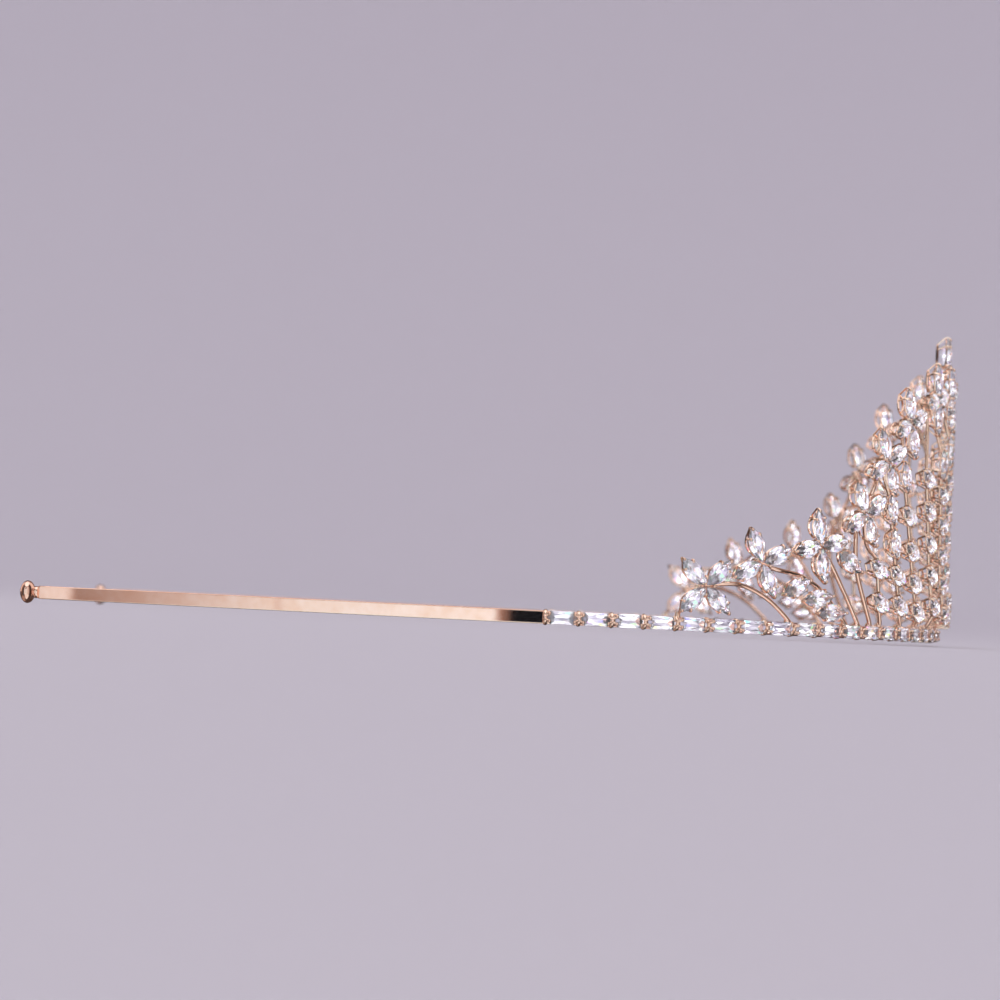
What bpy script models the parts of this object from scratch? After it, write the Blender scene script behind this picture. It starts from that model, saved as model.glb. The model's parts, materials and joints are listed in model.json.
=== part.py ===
"""Bridal tiara: a sprung U-shaped headband whose half-round front carries a row of baguette
stones, and a crest of four-petal stone flowers on wire sprays and stone columns.

The front of the tiara faces -Y, the open back faces +Y and +X is the wearer's left.
The origin is on the underside of the rail, in the middle of its front. Meshes are made about
FRONT_CENTRE, the centre of the half-round front, and each side piece is designed for the
wearer's right and mirrored across X = 0.
"""
import math
from collections import namedtuple

import bmesh
import bpy
from mathutils import Matrix, Vector

MM = 0.001

# Headband
FRONT_RADIUS = 70.0 * MM        # to the girdles of the stones
BAND_HEIGHT = 2.2 * MM
RAIL_INNER = -2.2 * MM          # offsets are measured outwards from FRONT_RADIUS
RAIL_OUTER = -1.4 * MM
NECK_OUTER = -0.6 * MM
NECK_WIDTH = 0.8 * MM
RAIL_END_ANGLE = 89.75
FRONT_CENTRE = Vector((0.0, FRONT_RADIUS + 0.5 * (RAIL_INNER + RAIL_OUTER), 0.0))
ARM_CENTRE = 68.6 * MM          # half distance between the arms at their roots
ARM_LENGTH = 84.7 * MM
ARM_THICKNESS = 0.9 * MM
ARM_INSET = 6.0 * MM            # how far each arm curves inwards at its back end
ARM_STEPS = 12
BALL_RADIUS = 1.7 * MM
BALL_GAP = 0.4 * MM

# Baguette row
ROW_PITCH = 4.6                 # degrees from one stone to the next
ROW_STONES_PER_SIDE = 19
BAGUETTE_LENGTH = 4.2 * MM
BAGUETTE_HEIGHT = 2.2 * MM
ROW_LEVEL = 1.15 * MM

# Stones and their settings
CROWN = 0.6 * MM
PAVILION = 1.1 * MM
BAGUETTE_PAVILION = 0.8 * MM
TABLE_SHARE = 0.62              # of a marquise's outline
SHOULDER_SHARE = (0.22, 0.42)   # of its length and width, where its outline bends
PETAL_TIP = 5.6 * MM            # from the middle of a flower to the tip of a petal
PETAL_WIDTH = 2.5 * MM
PETAL_SHOULDER = 3.1 * MM       # from the middle to a petal's widest place
LEAF_LENGTH = 4.8 * MM
LEAF_WIDTH = 2.4 * MM
SETTING_BACK = -2.4 * MM
SETTING_FRONT = -1.8 * MM
PRONG_TOP = 0.3 * MM
PRONG_THICKNESS = 0.35 * MM
SETTING_WIDTH = 0.8 * MM
STONE_GAP = 0.2 * MM
TIE_SIZE = 0.3 * MM
TIE_SHIFT = 0.4 * MM            # sideways in a column, to clear the prongs
TIE_SHIFT_UPRIGHT = 0.9 * MM

# Wires
WIRE_RADIUS = 0.4 * MM
COLUMN_WIRE_RADIUS = 0.35 * MM
WIRE_LEVEL = -2.1 * MM
BEHIND_LEVEL = -3.2 * MM        # where a wire passes behind a flower of its neighbour
FOOT_LEVEL = 2.6 * MM           # the wires stand just clear of the rail

# Flowers from the ear to the front: angle back from the middle, height, turn of the petals
Flower = namedtuple("Flower", "angle height turn")
FLOWERS = (
    Flower(67.4, 7.6 * MM, 45.0),
    Flower(58.7, 12.0 * MM, 25.0),
    Flower(48.4, 15.4 * MM, 11.0),
    Flower(39.2, 21.4 * MM, 30.0),
    Flower(34.2, 30.6 * MM, 27.0),
    Flower(27.7, 37.7 * MM, 20.0),
    Flower(18.0, 42.5 * MM, 11.0),
    Flower(8.5, 43.0 * MM, 30.0),
)
CENTRE_FLOWER = Flower(0.0, 48.3 * MM, 0.0)

# Wire sprays without columns: flower number to the points its wire passes
SPRAY_WIRES = {
    1: ((64.5, 8.2 * MM), (61.7, 7.8 * MM), (58.0, 5.7 * MM), (54.5, FOOT_LEVEL)),
    2: ((56.0, 11.0 * MM), (52.6, 10.4 * MM), (50.2, 9.4 * MM), (47.6, 7.7 * MM),
        (42.6, FOOT_LEVEL)),
    3: ((46.0, 13.5 * MM), (39.7, FOOT_LEVEL)),
    4: ((41.0, 17.0 * MM), (40.3, 11.2 * MM), (36.7, FOOT_LEVEL)),
}
FLOWER_FOOT = (71.1, FOOT_LEVEL)    # the lowest petal of flower 1 stands on the row

# Leaf stones on the sprays: angle, height, tilt of the long axis
LEAVES = {
    2: ((52.6, 8.2 * MM, 27.0), (48.2, 6.5 * MM, 5.0), (45.2, 4.1 * MM, -2.0)),
    4: ((42.6, 13.0 * MM, 130.0),),
}

# Stone columns. Each leans from its foot to its top, and its topmost stones stand upright in
# line with it while the others are tilted. lowest is the height of the first stone, and each
# gap between two stones is wider than the one below it by growth.
Column = namedtuple("Column", "name flower foot_angle top_angle top_height lowest pitch growth "
                              "stones upright")
COLUMNS = (
    Column("5a", 5, 34.0, 37.2, 26.0 * MM, 6.3 * MM, 5.8 * MM, 0.0, 2, 0),
    Column("5b", 5, 27.8, 33.3, 26.0 * MM, 6.0 * MM, 5.2 * MM, 0.3 * MM, 4, 2),
    Column("6", 6, 21.8, 29.4, 31.0 * MM, 5.0 * MM, 5.0 * MM, 0.55 * MM, 5, 1),
    Column("7a", 7, 16.0, 21.6, 35.0 * MM, 6.2 * MM, 5.4 * MM, 0.1 * MM, 5, 0),
    Column("7b", 7, 10.4, 14.8, 37.0 * MM, 4.8 * MM, 5.2 * MM, 0.05 * MM, 6, 1),
    Column("8", 8, 5.2, 8.4, 37.6 * MM, 7.0 * MM, 5.4 * MM, 0.0, 6, 1),
)
PASS_BEHIND = {"5a": (15.6 * MM, 25.6 * MM)}    # heights where flower 4 is in front
CENTRE_COLUMN = Column("centre", None, 0.0, 0.0, 42.0 * MM, 5.4 * MM, 5.6 * MM, 0.0, 7, 7)
LEAF_TILT = 154.0
STEEP_TILT = 115.0              # a column's stone tilted less than this counts as upright

ROSE_GOLD = ((0.90, 0.56, 0.42, 1.0), 0.16, 1.0)
CRYSTAL = ((0.88, 0.87, 0.94, 1.0), 0.03, 0.0)


def make_material(name, look):
    """A Principled material from (base colour, roughness, metallic)."""
    colour, roughness, metallic = look
    material = bpy.data.materials.new(name)
    material.use_nodes = True
    shader = material.node_tree.nodes["Principled BSDF"]
    shader.inputs["Base Color"].default_value = colour
    shader.inputs["Roughness"].default_value = roughness
    shader.inputs["Metallic"].default_value = metallic
    return material


def on_front(angle, height, offset=0.0):
    """A point on the wearer's right of the front, angle in degrees back from its middle."""
    turn = math.radians(angle)
    radius = FRONT_RADIUS + offset
    return Vector((-radius * math.sin(turn), -radius * math.cos(turn), height))


def front_frame(angle, height, offset=0.0):
    """Local X runs towards the middle of the front, Y up and Z outwards."""
    turn = math.radians(angle)
    towards_middle = Vector((math.cos(turn), -math.sin(turn), 0.0))
    outwards = Vector((-math.sin(turn), -math.cos(turn), 0.0))
    frame = Matrix((towards_middle, Vector((0.0, 0.0, 1.0)), outwards)).transposed().to_4x4()
    frame.translation = on_front(angle, height, offset)
    return frame


def seat_frame(angle, height, tilt=0.0):
    """The frame of a stone on the front, its long axis along local X turned by tilt."""
    return front_frame(angle, height) @ Matrix.Rotation(math.radians(tilt), 4, "Z")


def add_faces(shell, points, faces):
    """Add one closed shell to a bmesh."""
    verts = [shell.verts.new(point) for point in points]
    for face in faces:
        shell.faces.new([verts[index] for index in face])


def ring_faces(count, lower, upper):
    """Side faces between two rings of points that both turn anticlockwise."""
    faces = []
    for i in range(count):
        j = (i + 1) % count
        faces.append((lower + i, lower + j, upper + j, upper + i))
    return faces


def marquise(frame, length, width):
    """A low-faceted marquise stone with a table, a girdle and a culet."""
    shell = bmesh.new()
    shoulder_x = SHOULDER_SHARE[0] * length
    shoulder_y = SHOULDER_SHARE[1] * width
    outline = [(0.5 * length, 0.0), (shoulder_x, shoulder_y), (-shoulder_x, shoulder_y),
               (-0.5 * length, 0.0), (-shoulder_x, -shoulder_y), (shoulder_x, -shoulder_y)]
    count = len(outline)
    points = [Vector((x, y, 0.0)) for x, y in outline]
    points += [Vector((TABLE_SHARE * x, TABLE_SHARE * y, CROWN)) for x, y in outline]
    points.append(Vector((0.0, 0.0, -PAVILION)))
    faces = ring_faces(count, 0, count)
    faces.append(tuple(range(count, 2 * count)))
    faces += [((i + 1) % count, i, 2 * count) for i in range(count)]
    add_faces(shell, [frame @ point for point in points], faces)
    return shell


def petal_ring(level, tip, side_width, notch):
    """The outline of four petals that meet in the middle, sixteen points."""
    ring = []
    for quarter in range(4):
        turn = Matrix.Rotation(math.radians(90.0 * quarter), 4, "Z")
        for x, y in ((notch, -notch), (PETAL_SHOULDER, -0.5 * side_width),
                     (tip, 0.0), (PETAL_SHOULDER, 0.5 * side_width)):
            ring.append(turn @ Vector((x, y, level)))
    return ring


def petal_stones(frame):
    """Four marquise petals meeting in the middle of a flower, as one solid."""
    shell = bmesh.new()
    points = petal_ring(-PAVILION, 0.8 * PETAL_TIP, 0.3 * PETAL_WIDTH, 0.30 * MM)
    points += petal_ring(0.0, PETAL_TIP, PETAL_WIDTH, 0.75 * MM)
    points += petal_ring(CROWN, 0.86 * PETAL_TIP, 0.55 * PETAL_WIDTH, 0.45 * MM)
    count = 16
    faces = ring_faces(count, 0, count) + ring_faces(count, count, 2 * count)
    for first, upwards in ((0, False), (2 * count, True)):
        caps = [tuple(first + 4 * k for k in range(4))]
        for k in range(4):
            caps.append(tuple(first + (4 * k + i) % count for i in range(5)))
        faces += caps if upwards else [tuple(reversed(cap)) for cap in caps]
    add_faces(shell, [frame @ point for point in points], faces)
    return shell


def baguette(frame):
    """A rectangular stone with sloping sides above and below its girdle."""
    shell = bmesh.new()
    points = []
    for level, share in ((-BAGUETTE_PAVILION, 0.55), (0.0, 1.0), (CROWN, 0.72)):
        half_length = 0.5 * BAGUETTE_LENGTH * share
        half_height = 0.5 * BAGUETTE_HEIGHT * share
        points += [Vector((sx * half_length, sy * half_height, level))
                   for sx, sy in ((1, 1), (-1, 1), (-1, -1), (1, -1))]
    faces = ring_faces(4, 0, 4) + ring_faces(4, 4, 8) + [(3, 2, 1, 0), (8, 9, 10, 11)]
    add_faces(shell, [frame @ point for point in points], faces)
    return shell


def cradle(frame, half_length):
    """A bar behind a stone with a prong turned up past each end."""
    shell = bmesh.new()
    inner = half_length + STONE_GAP
    outer = inner + PRONG_THICKNESS
    profile = [(-outer, SETTING_BACK), (outer, SETTING_BACK), (outer, PRONG_TOP),
               (inner, PRONG_TOP), (inner, SETTING_FRONT), (-inner, SETTING_FRONT),
               (-inner, PRONG_TOP), (-outer, PRONG_TOP)]
    count = len(profile)
    half_width = 0.5 * SETTING_WIDTH
    points = [frame @ Vector((x, half_width, z)) for x, z in profile]
    points += [frame @ Vector((x, -half_width, z)) for x, z in profile]
    faces = ring_faces(count, 0, count)
    faces += [tuple(reversed(range(count))), tuple(range(count, 2 * count))]
    add_faces(shell, points, faces)
    return shell


def bar(points, radius, sides):
    """A straight-sided bar through a list of points, with flat ends."""
    shell = bmesh.new()
    rings = []
    for index, point in enumerate(points):
        before = points[max(index - 1, 0)]
        after = points[min(index + 1, len(points) - 1)]
        along = (after - before).normalized()
        outwards = Vector((point.x, point.y, 0.0)).normalized()
        across = along.cross(outwards).normalized()
        outwards = across.cross(along)
        ring = []
        for side in range(sides):
            turn = 2.0 * math.pi * (side + 0.5) / sides
            ring.append(shell.verts.new(
                point + radius * (math.cos(turn) * across + math.sin(turn) * outwards)))
        rings.append(ring)
    for lower, upper in zip(rings, rings[1:]):
        for side in range(sides):
            after = (side + 1) % sides
            shell.faces.new((lower[side], upper[side], upper[after], lower[after]))
    shell.faces.new(rings[0])
    shell.faces.new(tuple(reversed(rings[-1])))
    bmesh.ops.recalc_face_normals(shell, faces=shell.faces)
    return shell


def wire(stations):
    """A round wire behind the stones through (angle, height) stations."""
    return bar([on_front(angle, height, WIRE_LEVEL) for angle, height in stations],
               WIRE_RADIUS, 6)


def column_wire(column, flower):
    """The wire of a column from its foot to the middle of its flower."""
    stations = [(column.foot_angle, FOOT_LEVEL, WIRE_LEVEL)]
    stations += [(angle, height, WIRE_LEVEL) for angle, height, tilt in column_leaves(column)]
    for height in PASS_BEHIND.get(column.name, ()):
        stations.append((column_angle(column, height), height, BEHIND_LEVEL))
    stations.append((column.top_angle, column.top_height, WIRE_LEVEL))
    stations.append((flower.angle, flower.height, WIRE_LEVEL))
    return bar([on_front(*station) for station in stations], COLUMN_WIRE_RADIUS, 4)


def mirrored(shell):
    """The same shell on the wearer's left."""
    bmesh.ops.scale(shell, vec=(-1.0, 1.0, 1.0), verts=shell.verts)
    bmesh.ops.reverse_faces(shell, faces=shell.faces)
    return shell


def add_object(name, mesh, material, pivot=None):
    """Link a mesh made about the front's centre, on its joint's axis if it has one."""
    mesh.materials.append(material)
    part = bpy.data.objects.new(name, mesh)
    bpy.context.scene.collection.objects.link(part)
    if pivot is None:
        part.location = FRONT_CENTRE
    else:
        mesh.transform(Matrix.Translation(FRONT_CENTRE - pivot.location))
        part.parent = pivot
    return part


def shell_object(name, shell):
    """A temporary or final object from one bmesh shell."""
    mesh = bpy.data.meshes.new(name)
    shell.to_mesh(mesh)
    shell.free()
    part = bpy.data.objects.new(name, mesh)
    bpy.context.scene.collection.objects.link(part)
    return part


def union_mesh(name, shells):
    """One closed mesh from shells that overlap."""
    if len(shells) == 1:
        mesh = bpy.data.meshes.new(name)
        shells[0].to_mesh(mesh)
        shells[0].free()
        return mesh
    base = shell_object(name + "_base", shells[0])
    tools = bpy.data.collections.new(name + "_tools")
    bpy.context.scene.collection.children.link(tools)
    for index, shell in enumerate(shells[1:]):
        tool = shell_object(name + "_tool_" + str(index), shell)
        bpy.context.scene.collection.objects.unlink(tool)
        tools.objects.link(tool)
    join = base.modifiers.new("join", "BOOLEAN")
    join.operation = "UNION"
    join.solver = "EXACT"
    join.operand_type = "COLLECTION"
    join.collection = tools
    bpy.context.view_layer.update()
    evaluated = base.evaluated_get(bpy.context.evaluated_depsgraph_get())
    mesh = bpy.data.meshes.new_from_object(evaluated)
    mesh.name = name
    for tool in list(tools.objects):
        bpy.data.objects.remove(tool)
    bpy.data.collections.remove(tools)
    bpy.data.objects.remove(base)
    return mesh


def add_pair(name, make_shells, material):
    """The wearer's right piece and its mirror image on the left."""
    add_object(name + "_right", union_mesh(name + "_right", make_shells()), material)
    left = [mirrored(shell) for shell in make_shells()]
    add_object(name + "_left", union_mesh(name + "_left", left), material)


def flower_setting(flower):
    """Two crossed cradles, with a prong past the tip of each petal."""
    return [cradle(seat_frame(flower.angle, flower.height, flower.turn + quarter), PETAL_TIP)
            for quarter in (0.0, 90.0)]


def leaf_setting(angle, height, tilt):
    """The cradle of one leaf stone."""
    return cradle(seat_frame(angle, height, tilt), 0.5 * LEAF_LENGTH)


def nearest_station(stations, angle, height):
    """The point of a wire's course that lies closest to a place on the front."""
    here = on_front(angle, height)
    best = None
    for (a0, h0), (a1, h1) in zip(stations, stations[1:]):
        for step in range(21):
            share = step / 20.0
            station = (a0 + share * (a1 - a0), h0 + share * (h1 - h0))
            distance = (on_front(*station) - here).length
            if best is None or distance < best[0]:
                best = (distance, station)
    return best[1]


def column_angle(column, height):
    """A column leans evenly from its foot to its top."""
    share = (height - FOOT_LEVEL) / (column.top_height - FOOT_LEVEL)
    return column.foot_angle + share * (column.top_angle - column.foot_angle)


def column_tilt(column):
    """The tilt of a stone that stands in line with its column."""
    across = FRONT_RADIUS * math.radians(column.top_angle - column.foot_angle)
    return 90.0 + math.degrees(math.atan2(across, column.top_height - FOOT_LEVEL))


def column_leaves(column):
    """Angle, height and tilt of each stone of a column, from the foot up."""
    leaves = []
    for index in range(column.stones):
        height = column.lowest + index * (column.pitch + 0.5 * (index - 1) * column.growth)
        tilt = column_tilt(column) if index >= column.stones - column.upright else LEAF_TILT
        leaves.append((column_angle(column, height), height, tilt))
    return leaves


def column_metal(column, flower):
    """The wire of a column and the cradles on it, up to the middle of its flower."""
    return [column_wire(column, flower)] + [leaf_setting(*leaf) for leaf in column_leaves(column)]


def tied_leaves(leaves, course):
    """Leaf stones in a row with the thin tie that makes them one solid."""
    shells = [marquise(seat_frame(*leaf), LEAF_LENGTH, LEAF_WIDTH) for leaf in leaves]
    if len(leaves) > 1:
        shells.append(bar(course, 0.5 * TIE_SIZE, 4))
    return shells


def spray_stones(number):
    """The leaf stones beside the wire of a spray, tied through their middles."""
    leaves = LEAVES[number]
    return tied_leaves(leaves, [on_front(angle, height) for angle, height, tilt in leaves])


def column_stones(column):
    """The stones of a column, with their tie beside the column's line."""
    leaves = column_leaves(column)
    course = []
    for angle, height, tilt in leaves:
        shift = TIE_SHIFT_UPRIGHT if tilt < STEEP_TILT else TIE_SHIFT
        course.append(front_frame(angle, height) @ Vector((shift, 0.0, 0.0)))
    return tied_leaves(leaves, course)


def spray_metal(number):
    """All the metal that hangs together with one flower of the crest."""
    flower = FLOWERS[number - 1]
    shells = flower_setting(flower)
    if number in SPRAY_WIRES:
        stations = ((flower.angle, flower.height),) + SPRAY_WIRES[number]
        shells.append(wire(stations))
        for leaf in LEAVES.get(number, ()):
            shells.append(leaf_setting(*leaf))
            shells.append(wire((leaf[:2], nearest_station(stations, leaf[0], leaf[1]))))
    if number == 1:
        shells.append(wire(((flower.angle, flower.height), FLOWER_FOOT)))
    for column in COLUMNS:
        if column.flower == number:
            shells += column_metal(column, flower)
    return shells


def rail_mesh():
    """The half-round rail with a neck between each two baguettes."""
    necks = [ROW_PITCH * (k + 0.5) for k in range(-ROW_STONES_PER_SIDE - 1, ROW_STONES_PER_SIDE + 1)]
    half_neck = math.degrees(0.5 * NECK_WIDTH / FRONT_RADIUS)
    cuts = [-RAIL_END_ANGLE]
    for neck in necks:
        if abs(neck) + half_neck < RAIL_END_ANGLE:
            cuts += [neck - half_neck, neck + half_neck]
    cuts.append(RAIL_END_ANGLE)
    shell = bmesh.new()

    def corner(angle, offset, level):
        return shell.verts.new(on_front(angle, level, offset))

    rails = []
    for angle in cuts:
        rails.append([corner(angle, offset, level) for level in (0.0, BAND_HEIGHT)
                      for offset in (RAIL_INNER, RAIL_OUTER)])
    for index in range(len(cuts) - 1):
        low_in, low_out, high_in, high_out = rails[index]
        next_low_in, next_low_out, next_high_in, next_high_out = rails[index + 1]
        shell.faces.new((low_in, low_out, next_low_out, next_low_in))
        shell.faces.new((high_in, next_high_in, next_high_out, high_out))
        shell.faces.new((low_in, next_low_in, next_high_in, high_in))
        if index % 2 == 0:
            shell.faces.new((low_out, high_out, next_high_out, next_low_out))
            continue
        front = [corner(cuts[index], NECK_OUTER, 0.0), corner(cuts[index], NECK_OUTER, BAND_HEIGHT),
                 corner(cuts[index + 1], NECK_OUTER, 0.0),
                 corner(cuts[index + 1], NECK_OUTER, BAND_HEIGHT)]
        shell.faces.new((front[0], front[1], front[3], front[2]))
        shell.faces.new((low_out, front[0], front[2], next_low_out))
        shell.faces.new((high_out, next_high_out, front[3], front[1]))
        shell.faces.new((low_out, high_out, front[1], front[0]))
        shell.faces.new((next_low_out, front[2], front[3], next_high_out))
    for low_in, low_out, high_in, high_out in (rails[0], rails[-1]):
        shell.faces.new((low_in, low_out, high_out, high_in))
    bmesh.ops.recalc_face_normals(shell, faces=shell.faces)
    mesh = bpy.data.meshes.new("base_rail")
    shell.to_mesh(mesh)
    shell.free()
    return mesh


def arm_line(reach):
    """Half distance between the arms at a reach behind the front's centre."""
    return ARM_CENTRE - ARM_INSET * (reach / ARM_LENGTH) ** 2


def arm_shell():
    """The flat strip of the wearer's right arm, curving inwards to the back."""
    shell = bmesh.new()
    rings = []
    for step in range(ARM_STEPS + 1):
        reach = ARM_LENGTH * step / ARM_STEPS
        middle = arm_line(reach)
        ring = [shell.verts.new((-(middle + side * 0.5 * ARM_THICKNESS), reach, level))
                for side, level in ((-1, 0.0), (1, 0.0), (1, BAND_HEIGHT), (-1, BAND_HEIGHT))]
        rings.append(ring)
    for ring, after in zip(rings, rings[1:]):
        for i in range(4):
            j = (i + 1) % 4
            shell.faces.new((ring[i], ring[j], after[j], after[i]))
    shell.faces.new(rings[0])
    shell.faces.new(rings[-1])
    bmesh.ops.recalc_face_normals(shell, faces=shell.faces)
    return shell


def ball_shell():
    """The round tip at the end of the wearer's right arm."""
    shell = bmesh.new()
    reach = ARM_LENGTH + BALL_GAP + BALL_RADIUS
    centre = Matrix.Translation((-arm_line(reach), reach, 0.5 * BAND_HEIGHT))
    bmesh.ops.create_uvsphere(shell, u_segments=12, v_segments=7, radius=BALL_RADIUS,
                              matrix=centre)
    return shell


def build_arms(metal):
    """Each arm and its ball tip, on an empty at the root of the arm."""
    for name, side in (("right", -1), ("left", 1)):
        pivot = bpy.data.objects.new("arm_pivot_" + name, None)
        pivot.location = FRONT_CENTRE + Vector((side * ARM_CENTRE, 0.0, 0.0))
        bpy.context.scene.collection.objects.link(pivot)
        for piece, shell in (("arm_", arm_shell()), ("ball_tip_", ball_shell())):
            if side > 0:
                mirrored(shell)
            part = add_object(piece + name, union_mesh(piece + name, [shell]), metal, pivot)
            if piece == "ball_tip_":
                part.data.shade_smooth()


def row_shells():
    """The baguettes of one side, tied together through their middles."""
    angles = [ROW_PITCH * k for k in range(1, ROW_STONES_PER_SIDE + 1)]
    shells = [baguette(front_frame(angle, ROW_LEVEL)) for angle in angles]
    course = [on_front(angle, ROW_LEVEL) for angle in angles]
    shells.append(bar(course, 0.5 * TIE_SIZE, 4))
    return shells


def build_front(metal, crystal):
    """The rail, its row of stones and the crest."""
    add_object("base_rail", rail_mesh(), metal)
    add_pair("base_stones", row_shells, crystal)
    middle = baguette(front_frame(0.0, ROW_LEVEL))
    add_object("base_stone_centre", union_mesh("base_stone_centre", [middle]), crystal)

    for number, flower in enumerate(FLOWERS, start=1):
        add_pair("spray_" + str(number), lambda: spray_metal(number), metal)
        add_pair("flower_stones_" + str(number),
                 lambda: [petal_stones(seat_frame(*flower))], crystal)
    for number in LEAVES:
        add_pair("leaf_stones_" + str(number), lambda: spray_stones(number), crystal)
    for column in COLUMNS:
        add_pair("column_stones_" + column.name, lambda: column_stones(column), crystal)

    centre_metal = flower_setting(CENTRE_FLOWER) + column_metal(CENTRE_COLUMN, CENTRE_FLOWER)
    add_object("spray_centre", union_mesh("spray_centre", centre_metal), metal)
    centre_petals = [petal_stones(seat_frame(*CENTRE_FLOWER))]
    add_object("flower_stones_centre", union_mesh("flower_stones_centre", centre_petals), crystal)
    centre_leaves = column_stones(CENTRE_COLUMN)
    add_object("column_stones_centre", union_mesh("column_stones_centre", centre_leaves), crystal)


def build():
    for old in list(bpy.data.objects):
        bpy.data.objects.remove(old)
    metal = make_material("rose_gold", ROSE_GOLD)
    crystal = make_material("crystal", CRYSTAL)
    build_arms(metal)
    build_front(metal, crystal)


build()
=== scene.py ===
"""Looks of the bridal tiara: faceted stones in open wire settings, a polished rose-gold headband
and a pale studio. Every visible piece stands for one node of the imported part.

Angles are degrees back from the middle of the front. Side pieces are made for the wearer's
right (-X) and mirrored for the left. Lengths are metres, written as millimetres times MM.
"""
import json
import math
from collections import namedtuple

import bpy
from mathutils import Matrix, Vector


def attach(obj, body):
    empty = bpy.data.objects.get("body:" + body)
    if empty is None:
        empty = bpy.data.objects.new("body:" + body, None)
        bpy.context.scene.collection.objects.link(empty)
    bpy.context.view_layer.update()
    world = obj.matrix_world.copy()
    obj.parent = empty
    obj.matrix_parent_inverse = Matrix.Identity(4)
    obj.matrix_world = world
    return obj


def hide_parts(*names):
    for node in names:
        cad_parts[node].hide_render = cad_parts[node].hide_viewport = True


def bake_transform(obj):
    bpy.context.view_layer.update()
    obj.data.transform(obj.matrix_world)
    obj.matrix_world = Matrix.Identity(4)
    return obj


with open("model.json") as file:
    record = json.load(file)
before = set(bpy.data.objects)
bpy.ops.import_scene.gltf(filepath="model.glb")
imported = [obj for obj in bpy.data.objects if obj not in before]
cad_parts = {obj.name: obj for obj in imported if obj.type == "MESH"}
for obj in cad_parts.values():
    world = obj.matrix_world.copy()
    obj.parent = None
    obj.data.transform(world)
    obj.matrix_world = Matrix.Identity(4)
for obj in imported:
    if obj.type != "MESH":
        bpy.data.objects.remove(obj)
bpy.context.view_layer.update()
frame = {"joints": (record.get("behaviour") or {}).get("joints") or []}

MM = 0.001

# Headband
FRONT_RADIUS = 70.0 * MM            # to the girdles of the stones
FRONT_CENTRE = Vector((0.0, frame["joints"][0]["pos_m"][1], 0.0))
BAND_HEIGHT = 2.2 * MM
RAIL_INNER = -2.2 * MM              # offsets are measured outwards from FRONT_RADIUS
RAIL_OUTER = -1.4 * MM
RAIL_END_ANGLE = 89.75
RAIL_STEPS = 156
ARM_CENTRE = 68.6 * MM              # half distance between the arms at their roots
ARM_LENGTH = 84.7 * MM
ARM_THICKNESS = 0.9 * MM
ARM_INSET = 6.0 * MM
ARM_STEPS = 64
ARM_OVERLAP = 0.15 * MM             # an arm starts this far inside the end of the row
ARM_ROUNDING = 0.16 * MM
BALL_RADIUS = 1.9 * MM
BALL_HALF_LENGTH = 1.25 * MM        # the ball is flattened along the arm
BALL_REACH = 86.6 * MM
COLLAR_RADIUS = 1.0 * MM
COLLAR = ((-1.95, 0.7), (-1.8, 0.97), (-1.6, 1.0), (-1.3, 1.0), (-1.15, 0.9))   # mm, share
ARM_TIP = ((0.8, 0.1 * MM), (0.5, 0.25 * MM))   # the strip's end narrows inside the collar

# Row of baguettes
ROW_PITCH = 4.6
ROW_STONES_PER_SIDE = 19
ROW_LEVEL = 1.15 * MM
BAGUETTE_LENGTH = 4.85 * MM
BAGUETTE_HEIGHT = 2.22 * MM
BAGUETTE_CORNER = 0.5 * MM
BAGUETTE_DEPTH = 1.05 * MM
BAGUETTE_CROWN = 0.42 * MM
BAGUETTE_BEVEL = (0.75 * MM, 0.5 * MM)   # from the girdle to the table, at the ends and sides
LINK_REACH = 0.32 * MM              # how far a link's claws lie over the stones
LINK_RISE = 0.62 * MM               # and how far above and below the middle
LINK_WIRE = 0.24 * MM
LINK_BEAD = 0.30 * MM
LINK_KNOB = 0.5 * MM
LINK_CUP_WIRE = 0.42 * MM
LINK_CUP = ((-0.95, -1.5), (-0.85, -0.7), (-0.45, -0.35), (0.45, -0.35), (0.85, -0.7), (0.95, -1.5))

# Marquise stones
PETAL_LENGTH = 6.0 * MM
PETAL_WIDTH = 3.1 * MM
PETAL_GAP = 0.3 * MM                # from the middle of a flower to a petal's inner tip
LEAF_LENGTH = 6.0 * MM
LEAF_WIDTH = 3.1 * MM
UPRIGHT_SHARE = 0.90                # stones that stand in line with a column are smaller
CROWN_SHARE = 0.19                  # of a stone's width
PAVILION_SHARE = 0.42
GIRDLE_HALF = 0.07 * MM

# Settings
GALLERY_LEVEL = -1.95 * MM          # the ring behind a stone
GALLERY_SHARE = 0.62                # of the stone's outline
COLLET_LEVEL = -0.42 * MM           # the ring under its girdle
COLLET_SHARE = 0.93
GALLERY_WIRE = 0.21 * MM
COLLET_WIRE = 0.13 * MM
CLAW_WIRE = 0.16 * MM
CLAW_BEAD = 0.27 * MM
CLAW_LEAN = 0.12 * MM               # a claw passes just outside the girdle
CLAW_REACH = 0.22 * MM              # and bends in over it to its bead
CLAW_LEVELS = (-0.5 * MM, 0.06 * MM, 0.34 * MM)
LEAF_CLAWS = (0.0, 62.0, 118.0, 180.0, 242.0, 298.0)   # turns round the outline
PETAL_CLAWS = (0.0, 60.0, 300.0)
CROTCH_REACH = 1.62 * MM
HUB_RADIUS = 0.75 * MM

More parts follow.
